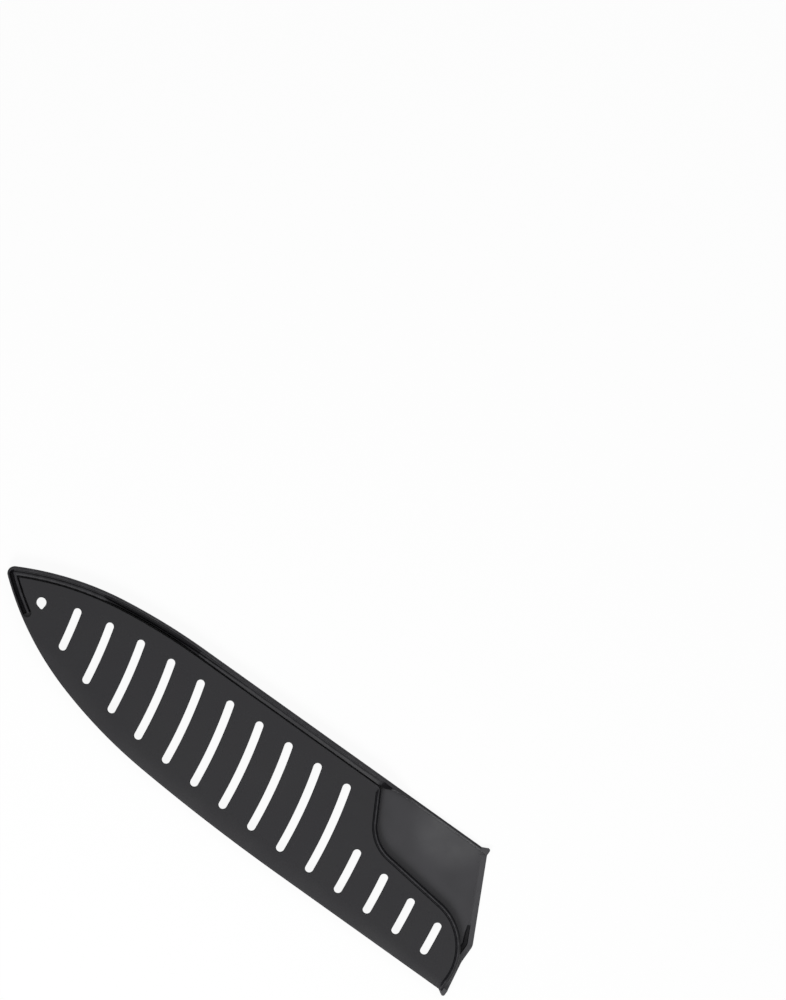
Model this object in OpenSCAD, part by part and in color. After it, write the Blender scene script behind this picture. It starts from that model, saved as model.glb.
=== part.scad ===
// Slotted sheath for a chef's knife: two black mouldings joined into one flat, open-mouthed guard.
// The nose is at -X, the mouth at +X, the spine side at +Y, and the back face lies on Z = 0.

/* [Outline] */
// Overall length, from the nose to the heel foot
guard_length = 216; // [200:1:250]
// Width between the straight spine and the straight cutting-edge side
guard_width = 50.3; // [46:0.1:58]
// Radius of the rounded nose
nose_r = 2.5; // [2:0.1:4]
// Radius of the spine's curve next to its straight run
spine_back_r = 236; // [200:1:300]
// Degrees that the spine turns on that curve
spine_back_turn = 8; // [6:0.1:10]
// Radius of the spine's curve at the nose
spine_nose_r = 118; // [105:1:135]
// Radius of the cutting-edge side's curve next to its straight run
edge_back_r = 790; // [700:5:900]
// Degrees that the cutting-edge side turns on that curve
edge_back_turn = 4.4; // [3.5:0.1:5.5]
// Radius of the cutting-edge side's middle curve
edge_mid_r = 188; // [165:1:215]
// Degrees that the cutting-edge side turns on its middle curve
edge_mid_turn = 12.3; // [11:0.1:13.5]
// Radius of the cutting-edge side's curve at the nose
edge_nose_r = 115; // [105:1:130]
// How far nearer to the mouth the cutting-edge side turns straight than the spine does
belly_lag = 67.8; // [62:0.1:74]

/* [Thickness] */
// Thickness of the back plate
back_t = 1.2; // [1:0.1:1.8]
// Height of the blade pocket between the two plates
pocket_h = 2.8; // [2.4:0.1:4]
// Thickness of the front plate
front_t = 1.2; // [1:0.1:1.8]
// Height of the rail and the mouth bead above the front plate
rail_rise = 0.4; // [0.3:0.05:0.7]

/* [Rail and walls] */
// Width of the rail round the nose and along the spine
rail_w = 3.4; // [3.2:0.1:4.5]
// Width of the rail's outer rim
rim_w = 1.3; // [1.1:0.1:1.5]
// Width of the groove between the rim and the rail's inner crest
groove_w = 0.7; // [0.5:0.1:0.9]
// Depth of that groove
groove_depth = 0.6; // [0.4:0.05:0.8]
// Wall along the cutting edge
edge_wall = 1.3; // [1:0.1:1.8]
// Distance over which the spine's wall drops past the front plate
bare_drop = 13.5; // [8:0.5:20]
// Height above the back plate to which it drops
bare_wall_h = 0.8; // [0.4:0.1:1.5]
// Distance from the nose at which the rail ends on the cutting-edge side
tail_x = 13.3; // [11:0.1:16]
// Rounding of the outer lower edges
under_r = 0.5; // [0.2:0.1:0.8]
// Rounding of the rail's outer top edge
rim_r = 0.5; // [0.2:0.1:0.7]
// Rounding of the rail's inner crest
crest_r = 0.35; // [0.2:0.05:0.5]
// Rounding of the front plate's cutting-edge side
cover_edge_r = 0.7; // [0.3:0.1:0.9]

/* [Joint between the mouldings] */
// Gap at the visible seam
seam_gap = 0.1; // [0.05:0.05:0.2]
// Bevel on the front plate along the seam
seam_bevel = 0.25; // [0.1:0.05:0.35]
// Thickness of the tongue that hooks under the rail's crest
tongue_t = 0.5; // [0.4:0.05:0.6]
// How far the tongue reaches under the crest
tongue_reach = 0.8; // [0.5:0.1:1]
// Clearance round the tongue
tongue_gap = 0.1; // [0.05:0.05:0.15]

/* [Mouth] */
// How far the back plate's lip stands out beyond the front plate at the heel
heel_lip = 1.7; // [1.2:0.1:2.2]
// How far the back plate's straight mouth edge lies behind the heel foot
mouth_setback = 1.85; // [1.4:0.05:2.4]
// Distance along the guard that the slanting mouth edge covers
mouth_slant = 14.8; // [10:0.1:20]
// Distance below the spine at which the slanting mouth edge ends
mouth_slant_drop = 31; // [26:0.5:34]
// Distance below the spine at which the heel lip starts to swing out
heel_lip_drop = 38; // [36:0.5:41]
// Width of the lead-in bevel inside the mouth
lead_in_w = 2; // [1:0.1:3]
// Depth of the lead-in bevel
lead_in_depth = 0.5; // [0.2:0.1:0.8]
// Length of the ramped lugs at the mouth
lug_length = 3.2; // [2.6:0.1:4.4]
// How far the lug stands out from the spine
nub_h = 1.1; // [0.6:0.1:1.6]
// How far the foot stands out from the cutting-edge side
foot_h = 1.3; // [0.6:0.1:1.8]
// Rounding of the lugs
lug_r = 0.8; // [0.3:0.1:0.9]

/* [Scooped front edge] */
// Distance from the heel to the corner at the rail
scoop_length = 59.8; // [54:0.1:66]
// Distance from the heel to the bottom of the steep stretch
scoop_foot_back = 50.4; // [46:0.1:53]
// Distance of that point below the spine
scoop_foot_drop = 20.8; // [18:0.1:23]
// Distance below the spine at which the shallow stretch would meet the heel line
scoop_heel_drop = 26.85; // [24:0.05:28]
// Rounding of the corner at the rail
scoop_corner_r = 2.5; // [2.3:0.1:4]
// Radius at the bottom of the steep stretch
scoop_foot_r = 14.3; // [11:0.1:18]
// Radius above the heel
scoop_heel_r = 20.8; // [16:0.1:22]
// Width of the raised bead along the scoop
bead_w = 1.2; // [0.9:0.1:1.4]
// Width of the valley between the bead and the plate
valley_w = 0.6; // [0.4:0.1:0.8]
// Depth of that valley
valley_depth = 0.2; // [0.1:0.05:0.35]

/* [Ventilation slots] */
// Width of a slot
slot_w = 3; // [2.4:0.1:3.6]
// Spacing of the first two slots
slot_pitch = 13.1; // [12.7:0.1:16]
// How much each spacing differs from the one before
slot_pitch_step = -0.04; // [-0.06:0.01:0]
// Radius that the slots are arched to
slot_arch_r = 170; // [150:5:200]
// Distance outside the cutting-edge side at which the arches stand square to it
slot_arch_drop = 7.3; // [4:0.1:10]
// Distance from the nose to the first slot's arch
first_slot_x = 34.3; // [33:0.1:38]
// Plate left between the spine and a slot
spine_margin = 9.3; // [8:0.1:11]
// Plate left between the cutting-edge side and a slot
edge_margin = 6.6; // [5:0.1:8]
// Plate left between the scoop and a slot
scoop_margin = 5.8; // [4:0.1:7]
// Plate left between the heel and the last slot
heel_margin = 9; // [6:0.1:10]

/* [Hanging hole] */
// Distance from the nose to the middle of the hole's round end
hole_x = 16.45; // [15.5:0.05:18]
// Distance from the spine line to the middle of the hole's round end
hole_drop = 20.25; // [19.5:0.05:21.5]
// Radius of the drop-shaped hole's round end
hole_r = 1.85; // [1.6:0.05:2]
// Radius of its narrow end
hole_tip_r = 0.7; // [0.5:0.1:0.9]
// Overall length of the hole
hole_length = 4.3; // [4.1:0.1:4.8]
// Direction in which its narrow end points
hole_turn = 305; // [290:1:320]

/* [Hidden] */

shell_color = [0.16, 0.16, 0.17];
cover_color = [0.20, 0.20, 0.22];
eps = 0.01;
round_steps = 4;
facet_error = 0.01;
end_turn = 80;
root_inset = 0.8;
border_w = 1.6;
sharp_r = 0.3;

floor_z = back_t;
seat_z = back_t + pocket_h;
cover_z = seat_z + front_t;
rail_z = cover_z + rail_rise;
groove_z = rail_z - groove_depth;
crest_w = rail_w - rim_w - groove_w;
bare_z = floor_z + bare_wall_h;
hook_z = seat_z + tongue_t + tongue_gap;
hook_inset = rail_w - tongue_reach - tongue_gap;
lip_swing_r = heel_lip_drop - mouth_slant_drop;
slant_corner_r = lead_in_w + sharp_r;

// A path is a list of arcs [centre, radius, first angle, last angle], taken with the guard on the
// left. Straight runs join the end of one arc to the start of the next, and a bare point is an arc
// of radius 0 whose angle is the outward normal.
function unit(a) = [cos(a), sin(a)];
function bend(e) = e[3] < e[2] ? -1 : 1;
function arc_start(e) = e[0] + e[1] * unit(e[2]);
function arc_end(e) = e[0] + e[1] * unit(e[3]);
function point_on(p, normal) = [p, 0, normal, normal];
function inset_path(path, d) = [for (e = path) [e[0], e[1] - d * bend(e), e[2], e[3]]];
function arc_step(r) = 2 * acos(1 - min(0.5, facet_error / max(abs(r), eps)));
function arc_count(e) = ceil(abs(e[3] - e[2]) / arc_step(e[1]));
function arc_points(e) =
    let (n = arc_count(e))
    [for (k = [0:n]) e[0] + e[1] * unit(e[2] + (e[3] - e[2]) * (n == 0 ? 0 : k / n))];
function path_points(path) = [for (e = path) each arc_points(e)];
function reversed(list) = [for (i = [len(list) - 1:-1:0]) list[i]];

// Where two circles cross, on the side nearer to the nose
function circles_meet(c1, r1, c2, r2) =
    let (gap = norm(c2 - c1))
    let (along = (r1 * r1 - r2 * r2 + gap * gap) / (2 * gap))
    let (u = (c2 - c1) / gap)
    let (off = sqrt(r1 * r1 - along * along) * [u.y, -u.x])
    off.x < 0 ? c1 + along * u + off : c1 + along * u - off;

// Angle of p seen from c, from 0 to 360
function angle_from(c, p) = (atan2(p.y - c.y, p.x - c.x) + 360) % 360;

// The arc that rounds corner b of the line a, b, c
function corner_arc(a, b, c, r) =
    let (into = (b - a) / norm(b - a))
    let (out = (c - b) / norm(c - b))
    let (turn = into.x * out.y - into.y * out.x)
    let (side = sign(turn))
    let (back = r * tan(acos(into * out) / 2))
    let (centre = b - back * into + side * r * [-into.y, into.x])
    let (first = atan2(-side * into.x, side * into.y))
    [centre, r, first, first + side * acos(into * out)];

// Root of a rising function
function root_of(f, low, high, left = 30) =
    let (middle = (low + high) / 2)
    left == 0 ? middle :
    f(middle) > 0 ? root_of(f, low, middle, left - 1) :
    root_of(f, middle, high, left - 1);

// Circles of the two long sides, with the spine's straight run starting at x = 0
spine_back_c = [0, -spine_back_r];
spine_join = 90 + spine_back_turn;
spine_nose_c = spine_back_c + (spine_back_r - spine_nose_r) * unit(spine_join);
edge_back_c = [belly_lag, edge_back_r - guard_width];
edge_back_join = 270 - edge_back_turn;
edge_mid_c = edge_back_c + (edge_back_r - edge_mid_r) * unit(edge_back_join);
edge_mid_join = edge_back_join - edge_mid_turn;
edge_nose_c = edge_mid_c + (edge_mid_r - edge_nose_r) * unit(edge_mid_join);
function nose_centre(d, r) =
    circles_meet(spine_nose_c, spine_nose_r - d - r, edge_nose_c, edge_nose_r - d - r);

// The nose tip lies at x = 0, so every circle moves along by the tip's reach
reach = nose_r - nose_centre(0, nose_r).x;
shift = [reach, 0];

tail_angle = 360 - acos((tail_x - reach - edge_nose_c.x) / edge_nose_r);

// Side arcs at inset d, with the nose rounded to radius r
function spine_arcs(d, r) =
    let (meet = angle_from(spine_nose_c, nose_centre(d, r)))
    [
        [spine_back_c + shift, spine_back_r - d, 90, spine_join],
        [spine_nose_c + shift, spine_nose_r - d, spine_join, meet],
        [nose_centre(d, r) + shift, r, meet, angle_from(edge_nose_c, nose_centre(d, r))],
    ];
function nose_edge_arc(d, first, last) = [edge_nose_c + shift, edge_nose_r - d, first, last];
function edge_arcs(d, first) =
    [
        nose_edge_arc(d, first, edge_mid_join),
        [edge_mid_c + shift, edge_mid_r - d, edge_mid_join, edge_back_join],
        [edge_back_c + shift, edge_back_r - d, edge_back_join, 270],
    ];
function nose_meet(d, r) = angle_from(edge_nose_c, nose_centre(d, r));

// Landmarks along the guard
mouth_x = guard_length - mouth_setback;
nub_x = mouth_x - mouth_slant;
heel_x = guard_length - heel_lip;
scoop_corner = [heel_x - scoop_length, -rail_w - seam_gap];
scoop_foot = [heel_x - scoop_foot_back, -scoop_foot_drop];
scoop_heel = [heel_x, -scoop_heel_drop];
scoop_dir = (scoop_foot - scoop_heel) / norm(scoop_foot - scoop_heel);

// The rail's path at inset d runs from x to the tail, and the edge's from the tail to x
function rail_path(d, r, x) =
    concat([point_on([x, -d], 90)], spine_arcs(d, r), [nose_edge_arc(d, nose_meet(d, r), tail_angle)]);
function edge_path(x) = concat(edge_arcs(0, tail_angle), [point_on([x, -guard_width], 270)]);
outline_path = concat(rail_path(0, nose_r, nub_x), edge_path(heel_x));
function side_points(d, r) = path_points(concat(spine_arcs(d, r), edge_arcs(d, nose_meet(d, r))));

// The scoop's path runs from the heel up to the rail
scoop_path =
    [
        point_on([heel_x, -guard_width + cover_edge_r], 0),
        corner_arc([heel_x, -guard_width], scoop_heel, scoop_foot, scoop_heel_r),
        corner_arc(scoop_heel, scoop_foot, scoop_corner, scoop_foot_r),
        corner_arc(scoop_foot, scoop_corner, [0, scoop_corner.y], scoop_corner_r),
    ];

// Middle of a band's round tail
function tail_centre(outer, inner) =
    edge_nose_c + shift + (edge_nose_r - (outer + inner) / 2) * unit(tail_angle);

// The front plate's edge along the rail and round the rail's tail
seam_path =
    concat(
        rail_path(rail_w + seam_gap, sharp_r, scoop_corner.x - scoop_corner_r),
        [[
            tail_centre(root_inset, rail_w),
            (rail_w - root_inset) / 2 + seam_gap,
            tail_angle + 180,
            tail_angle
        ]]
    );

// The back plate's mouth edge, from the heel up to the spine wall
lip_low = [guard_length, -guard_width + lug_r];
lip_high = [mouth_x, -heel_lip_drop];
slant_low = [mouth_x, -mouth_slant_drop];
slant_high = [nub_x, -rim_w];
mouth_path =
    [
        point_on(lip_low, 0),
        corner_arc(lip_low, lip_high, slant_low, lip_swing_r),
        corner_arc(lip_high, slant_low, slant_high, slant_corner_r),
        point_on(slant_high, atan2(mouth_slant, mouth_slant_drop - rim_w)),
    ];

// How deep a point lies inside the spine, the cutting-edge side and the scoop's shallow stretch
function spine_depth(p) =
    let (q = p - shift)
    q.x >= 0 ? -q.y :
    angle_from(spine_back_c, q) <= spine_join ? spine_back_r - norm(q - spine_back_c) :
    spine_nose_r - norm(q - spine_nose_c);
function edge_depth(p) =
    let (q = p - shift)
    q.x >= belly_lag ? q.y + guard_width :
    angle_from(edge_back_c, q) >= edge_back_join ? edge_back_r - norm(q - edge_back_c) :
    angle_from(edge_mid_c, q) >= edge_mid_join ? edge_mid_r - norm(q - edge_mid_c) :
    edge_nose_r - norm(q - edge_nose_c);
function scoop_depth(p) = (p - scoop_heel) * [-scoop_dir.y, scoop_dir.x];

// Slots share one arch, shifted along the guard
function slot_centre(i) =
    let (x = first_slot_x + i * slot_pitch + slot_pitch_step * i * (i - 1) / 2)
    [x - slot_arch_r, -guard_width - slot_arch_drop];
function slot_point(i, a) = slot_centre(i) + slot_arch_r * unit(a);
function slot_angle(y) = asin((guard_width + slot_arch_drop - y) / slot_arch_r);
function slot_low(i) =
    let (too_high = function (a) edge_depth(slot_point(i, a)) - edge_margin - slot_w / 2)
    root_of(too_high, 0, slot_angle(guard_width / 2));
function slot_high_long(i) =
    let (too_high = function (a) spine_margin + slot_w / 2 - spine_depth(slot_point(i, a)))
    root_of(too_high, slot_low(i), slot_angle(0));
function slot_high_short(i) =
    let (too_high = function (a) scoop_margin + slot_w / 2 - scoop_depth(slot_point(i, a)))
    root_of(too_high, slot_low(i), slot_angle(0));
function is_short(i) =
    slot_point(i, slot_high_long(i)).x + slot_w / 2 + scoop_margin > scoop_corner.x;
function slot_high(i) = is_short(i) ? slot_high_short(i) : slot_high_long(i);
function fits(i) = slot_point(i, 0).x + slot_w / 2 + heel_margin < heel_x;
slots = [for (i = [0:1:guard_length / slot_w]) if (fits(i)) i];
function slot_path(i) =
    let (low = slot_low(i), high = slot_high(i))
    [
        [slot_centre(i), slot_arch_r + slot_w / 2, low, high],
        [slot_point(i, high), slot_w / 2, high, high + 180],
        [slot_centre(i), slot_arch_r - slot_w / 2, high, low],
        [slot_point(i, low), slot_w / 2, low + 180, low + 360],
    ];

// Drop shape, whose two ends are joined by straight flanks
hang_hole_path =
    let (apart = hole_length - hole_r - hole_tip_r)
    let (flank = acos((hole_r - hole_tip_r) / apart))
    let (middle = [hole_x, -hole_drop])
    [
        [middle, hole_r, hole_turn + flank, hole_turn + 360 - flank],
        [middle + apart * unit(hole_turn), hole_tip_r, hole_turn - flank, hole_turn + flank],
    ];

// Puts the guard's middle at the origin
module placed() {
    translate([-guard_length / 2, (guard_width + foot_h - nub_h) / 2, 0]) children();
}

// Stations along a path, each a point, its outward normal and a squeeze of the profile's width
function stations(path) =
    [
        for (i = [0:len(path) - 1])
            let (e = path[i], n = arc_count(e))
            let (joined = i > 0 && norm(arc_start(e) - arc_end(path[max(i - 1, 0)])) < eps)
            for (k = [joined ? 1 : 0:1:n])
                let (a = e[2] + (e[3] - e[2]) * (n == 0 ? 0 : k / n))
                [e[0] + e[1] * unit(a), bend(e) * unit(a), 1]
    ];

// Stations that round off a strip of half width h past the end of arc e
function end_stations(e, h) =
    [
        for (k = [1:round_steps])
            let (a = end_turn * k / round_steps)
            let (past = e[3] + h * sin(a) / e[1] * 180 / PI)
            [e[0] + e[1] * unit(past), unit(past), cos(a)]
    ];

// Sweeps a profile of [inset, height] points, listed out along the bottom and back along the top
module sweep(stops, profile) {
    n = len(profile);
    last = len(stops) - 1;
    middle = (min([for (q = profile) q.x]) + max([for (q = profile) q.x])) / 2;
    polyhedron(
        [
            for (s = stops)
                for (q = profile)
                    let (p = s[0] - (middle + (q.x - middle) * s[2]) * s[1])
                    [p.x, p.y, q.y]
        ],
        concat(
            [[for (j = [n - 1:-1:0]) j]],
            [[for (j = [0:n - 1]) last * n + j]],
            [
                for (i = [0:last - 1])
                    for (j = [0:n - 1])
                        let (k = (j + 1) % n)
                        [i * n + j, i * n + k, (i + 1) * n + k, (i + 1) * n + j]
            ]
        )
    );
}

// Quarter rounds of a profile: outer bottom, outer top and inner top
function quarter(c, r, first) = [for (k = [0:round_steps]) c + r * unit(first - 90 * k / round_steps)];
function round_bottom(r) = quarter([r, r], r, 270);
function round_outer(r, z) = quarter([r, z - r], r, 180);
function round_inner(r, x, z) = quarter([x - r, z - r], r, 90);

// Wall that runs all round the guard, up to the front plate's seat
function wall_profile() =
    concat([[edge_wall, 0]], round_bottom(under_r), [[0, seat_z], [edge_wall, seat_z]]);

// Outer rim of the rail, on top of the wall
function rim_profile() =
    concat([[rim_w, seat_z], [0, seat_z]], round_outer(rim_r, rail_z), [[rim_w, rail_z]]);

// Inner crest of the rail, above the hook under which the tongue lies
function crest_profile() =
    concat(
        [[crest_w, hook_z], [0, hook_z]],
        round_outer(crest_r, rail_z),
        round_inner(crest_r, crest_w, rail_z)
    );

// Rounded border of the front plate along the cutting edge
function border_profile() =
    concat([[border_w, seat_z], [0, seat_z]], round_outer(cover_edge_r, cover_z), [[border_w, cover_z]]);

// Raised bead along the scoop
function bead_profile() =
    concat(
        [[bead_w, seat_z], [0, seat_z]],
        [
            for (k = [0:2 * round_steps])
                let (a = 90 * k / round_steps)
                [bead_w / 2 * (1 - cos(a)), cover_z + rail_rise * sin(a)]
        ]
    );

// Triangle that cuts a V of a given width and depth into the top of the front plate
function vee_profile(middle, width, depth) =
    [[middle, cover_z - depth], [middle - width / 2, cover_z + eps], [middle + width / 2, cover_z + eps]];

// Plan of everything inside the outline at inset d, out to the mouth
module floor_plan(d) {
    polygon(concat(
        side_points(d, nose_r - d),
        [[heel_x, -guard_width + d]],
        path_points(mouth_path),
        [[nub_x, -d]]
    ));
}

// Plan of the rail from an outer inset to inner, out to x, with a round tail
module rail_plan(outer, inner, x) {
    polygon(concat(
        path_points(rail_path(outer, max(nose_r - outer, sharp_r), x)),
        arc_points([tail_centre(outer, inner), (inner - outer) / 2, tail_angle, tail_angle + 180]),
        reversed(path_points(rail_path(inner, sharp_r, x)))
    ));
}

// Plan of the rail's rim, with a square tail
module rim_plan() {
    x = scoop_corner.x;
    polygon(concat(
        path_points(rail_path(0, nose_r, x)),
        reversed(path_points(rail_path(rim_w, nose_r - rim_w, x)))
    ));
}

// Slots and hanging hole, cut through both plates
module openings() {
    translate([0, 0, -eps])
        linear_extrude(cover_z + 2 * eps) {
            for (i = slots) polygon(path_points(slot_path(i)));
            polygon(path_points(hang_hole_path));
        }
}

// Ramped lug whose tip stands out by h at the end of a run along +X
module lug(h, height) {
    tip = [-lug_r, h - lug_r];
    ramp = [lug_length, 0] + tip;
    ramp_angle = atan2(ramp.y, ramp.x) + asin(lug_r / norm(ramp));
    linear_extrude(height)
        polygon(concat(
            [[-lug_length, -edge_wall], [0, -edge_wall]],
            path_points([[tip, lug_r, 0, 90], [tip, lug_r, 90, 90 + ramp_angle]]),
            [[-lug_length, 0]]
        ));
}

module back_shell() {
    color(shell_color)
        placed()
            difference() {
                union() {
                    linear_extrude(floor_z) floor_plan(root_inset);
                    sweep(stations(outline_path), wall_profile());
                    rail();
                    translate([nub_x, 0, 0]) lug(nub_h, bare_z);
                    translate([guard_length, -guard_width, 0]) mirror([0, 1, 0]) lug(foot_h, seat_z);
                }
                openings();
                lead_in_cut();
                bare_cut();
            }
}

// Rail round the nose and along the spine. Its inside ends in a slant at the scoop, its rim at the mouth.
module rail() {
    bevel = rail_w - root_inset;
    corner = [scoop_corner.x, -rail_w - eps];
    sweep(stations(rail_path(0, nose_r, nub_x)), rim_profile());
    difference() {
        rail_core(corner.x + bevel);
        translate([0, 0, -eps])
            linear_extrude(rail_z + 2 * eps)
                polygon([corner, corner + [2 * bevel, 0], corner + [2 * bevel, 2 * bevel]]);
    }
}

// Inside of the rail, out to x: the wall's core, the groove's floor and the crest
module rail_core(x) {
    linear_extrude(seat_z) rail_plan(root_inset, rail_w, x);
    linear_extrude(groove_z) rail_plan(root_inset, hook_inset, x);
    crest = rail_path(rim_w + groove_w, crest_w + sharp_r, x);
    sweep(concat(stations(crest), end_stations(crest[len(crest) - 1], crest_w / 2)), crest_profile());
}

// Takes the spine's wall down along its bare stretch
module bare_cut() {
    x = scoop_corner.x;
    end = nub_x + eps;
    top = rail_z + eps;
    translate([0, eps, 0])
        rotate([90, 0, 0])
            linear_extrude(rail_w + 2 * eps)
                polygon([[x, top], [x + bare_drop, bare_z], [end, bare_z], [end, top]]);
}

// Bevel that leads the blade in over the back plate's mouth edge
module lead_in_cut() {
    top = floor_z + eps;
    intersection() {
        sweep(stations(mouth_path), [[-eps, floor_z - lead_in_depth], [-eps, top], [lead_in_w, top]]);
        translate([0, -guard_width + edge_wall, 0])
            cube([guard_length + eps, guard_width - 2 * edge_wall, cover_z]);
    }
}

module front_cover() {
    color(cover_color)
        placed()
            difference() {
                union() {
                    cover_plate();
                    translate([0, 0, seat_z]) linear_extrude(tongue_t) tongue_plan();
                }
                openings();
                sweep(stations(scoop_path), vee_profile(bead_w + valley_w / 2, valley_w, valley_depth));
                sweep(stations(seam_path), vee_profile(0, 2 * seam_bevel, seam_bevel));
            }
}

// Front plate with its rounded border and bead, trimmed to fit beside the rail
module cover_plate() {
    difference() {
        union() {
            translate([0, 0, seat_z]) linear_extrude(front_t) cover_plan();
            sweep(stations(edge_path(heel_x)), border_profile());
            sweep(stations(scoop_path), bead_profile());
        }
        translate([0, 0, seat_z - eps])
            linear_extrude(rail_z)
                offset(seam_gap) {
                    rim_plan();
                    rail_plan(root_inset, rail_w, scoop_corner.x);
                }
    }
}

// Plan of the front plate inside its border, out to the scoop
module cover_plan() {
    polygon(concat(
        side_points(root_inset, nose_r - root_inset),
        path_points(inset_path(scoop_path, root_inset)),
        [[scoop_corner.x - scoop_corner_r, -root_inset]]
    ));
}

// Plan of the tongue that lies under the rail's crest
module tongue_plan() {
    rail_plan(rail_w - tongue_reach, rail_w + root_inset, scoop_corner.x - 2 * scoop_corner_r);
}

back_shell();
front_cover();
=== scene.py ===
"""Dresses the blade guard's two mouldings: rounded edges, lips round the slots, and black plastic.

Lengths are in millimetres up to the meshes, which are in metres. Plan coordinates have the nose tip
at x = 0 and the straight spine on y = 0, with the guard on the -Y side of it.
"""

import math

import bmesh
import bpy
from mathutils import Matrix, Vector
from mathutils.geometry import tessellate_polygon


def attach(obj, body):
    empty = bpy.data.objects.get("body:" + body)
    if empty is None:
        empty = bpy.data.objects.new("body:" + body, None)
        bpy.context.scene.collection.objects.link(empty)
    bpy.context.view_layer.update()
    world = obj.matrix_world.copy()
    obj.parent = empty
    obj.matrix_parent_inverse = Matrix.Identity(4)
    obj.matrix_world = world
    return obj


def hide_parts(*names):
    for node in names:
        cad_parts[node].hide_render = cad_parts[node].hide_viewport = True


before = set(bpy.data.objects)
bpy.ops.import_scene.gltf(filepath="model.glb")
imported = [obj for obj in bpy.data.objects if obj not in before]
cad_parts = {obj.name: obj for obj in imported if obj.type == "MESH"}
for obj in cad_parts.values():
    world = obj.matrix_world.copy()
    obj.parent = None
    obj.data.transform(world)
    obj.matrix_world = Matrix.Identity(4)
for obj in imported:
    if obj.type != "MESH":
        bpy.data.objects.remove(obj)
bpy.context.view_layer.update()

MM = 0.001

# Outline: arcs that run into each other, from the straight spine round the nose to the cutting edge's
# straight stretch. Turns are in degrees
GUARD_LENGTH = 216.0
GUARD_WIDTH = 50.3
NOSE_R = 2.5
SPINE_BACK_R = 236.0
SPINE_BACK_TURN = 8.0
SPINE_NOSE_R = 118.0
EDGE_BACK_R = 790.0
EDGE_BACK_TURN = 4.4
EDGE_MID_R = 188.0
EDGE_MID_TURN = 12.3
EDGE_NOSE_R = 115.0
BELLY_LAG = 67.8

# Heights above the flat back face
BACK_T = 1.2
POCKET_H = 2.8
FRONT_T = 1.2
RAIL_RISE = 0.4
SEAT_Z = BACK_T + POCKET_H
COVER_Z = SEAT_Z + FRONT_T
RAIL_Z = COVER_Z + RAIL_RISE
BARE_RISE = 0.8
BARE_Z = BACK_T + BARE_RISE

# Rail, walls and their roundings. The walls' undersides are hidden in the plate, at height BURIED, and
# the plate's side is hidden in the walls, ROOT_INSET from the outline
RAIL_W = 3.4
RIM_W = 1.3
EDGE_WALL = 1.3
TAIL_X = 13.3
UNDER_R = 0.5
RIM_R = 0.5
RIM_INNER_R = 0.25
CREST_DROP = 0.5
SLOPE_PEAK = 0.3
SLOPE_CURVE = 1.3
SLOPE_DROP = 0.38
ROOT_INSET = 0.8
SHARP_R = 0.3
BURIED = 0.3
PARTING_R = 0.12

# Bare wall past the crest's end: it starts at the rail's height and comes down to a low one
CREST_RAMP = 6.5
BARE_DROP = 13.5
LOW_RIM_LEAD = 2.0
BARE_INNER_R = 0.65
LOW_INNER_R = 0.12
LOW_RIM_R = 1.0
FOOT_RUN = 9.0
FOOT_FILLET_R = 2.8
LOW_FILLET_R = 0.12
FACE_LEAN = 0.01

# Half-round ends past the rail's tail
END_TURN = 88
END_FLOOR_INSET = 0.5
END_FLOOR_REACH = 0.4
END_FLOOR_DROP = 0.02

# Mouth: its edge in plan, the bevel along it, the line and the hollow behind that, and the lugs. The
# hollow's start is counted in pieces of the mouth's path, and its fading in shares of the last one
HEEL_LIP = 1.7
MOUTH_SETBACK = 1.85
MOUTH_SLANT = 14.8
MOUTH_SLANT_DROP = 31.0
MOUTH_BEND_R = 4.3
HEEL_LIP_DROP = 38.0
MOUTH_R = 0.15
LEAD_IN_W = 2.0
LEAD_IN_DEPTH = 0.5
LEAD_IN_END_W = 0.1
LEAD_IN_END_DEPTH = 0.03
LEAD_IN_STEP = 0.02
LINE_SIDE = 0.15
LINE_W = 0.2
LINE_DEPTH = 0.06
HOLLOW_W = 1.0
HOLLOW_DEPTH = 0.5
HOLLOW_SIDE = 0.3
HOLLOW_BORDER = 0.2
HOLLOW_FROM = 1.6
HOLLOW_SPAN = 0.8
FADE_FROM = 0.03
FADE_SPAN = 0.24
LUG_LENGTH = 3.2
NUB_H = 1.1
FOOT_H = 1.3
LUG_R = 0.8
LUG_EDGE_R = 0.35
LUG_PROUD = 0.02

# Seam, scoop and borders of the cover
SEAM_GAP = 0.1
SEAM_OPEN = 0.26
SEAM_BEVEL = 0.3
SEAM_REACH = 0.7
THIN_R = 0.12
THIN_REACH = 0.3
THIN_INSET = 0.66
BORDER_R = 0.7
BORDER_REACH = 1.5
BORDER_DROP = 0.02
BORDER_RUN = 6.0
SCOOP_LENGTH = 59.8
SCOOP_FOOT_BACK = 50.4
SCOOP_FOOT_DROP = 20.8
SCOOP_HEEL_DROP = 26.85
SCOOP_CORNER_R = 2.5
SCOOP_FOOT_R = 14.3
SCOOP_HEEL_R = 20.8
BEAD_W = 1.2
BEAD_SIDE = 0.5
BEAD_FOOT = 0.2
VALLEY_W = 0.7
VALLEY_DEPTH = 0.4
CROWN_W = 6.0
CROWN_DROP = 0.3
CROWN_FROM = 22.0
CROWN_RUN = 12.0
HEEL_CROWN_W = 3.4
HEEL_CROWN_DROP = 0.21
HEEL_CROWN_FROM = 180.0
HEEL_CROWN_RUN = 30.0
HEEL_SIDE = 0.4
HEEL_END = 2.0

# Slots and hanging hole
SLOT_W = 3.0
SLOT_PITCH = 13.1
SLOT_PITCH_STEP = -0.04
SLOT_ARCH_R = 170.0
SLOT_ARCH_DROP = 7.3
FIRST_SLOT_X = 34.3
SPINE_MARGIN = 9.3
EDGE_MARGIN = 6.6
SCOOP_MARGIN = 5.8
HEEL_MARGIN = 9.0
HOLE_X = 16.45
HOLE_DROP = 20.25
HOLE_R = 1.85
HOLE_TIP_R = 0.7
HOLE_LENGTH = 4.3
HOLE_TURN = 305
LIP_R = 0.25

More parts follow.
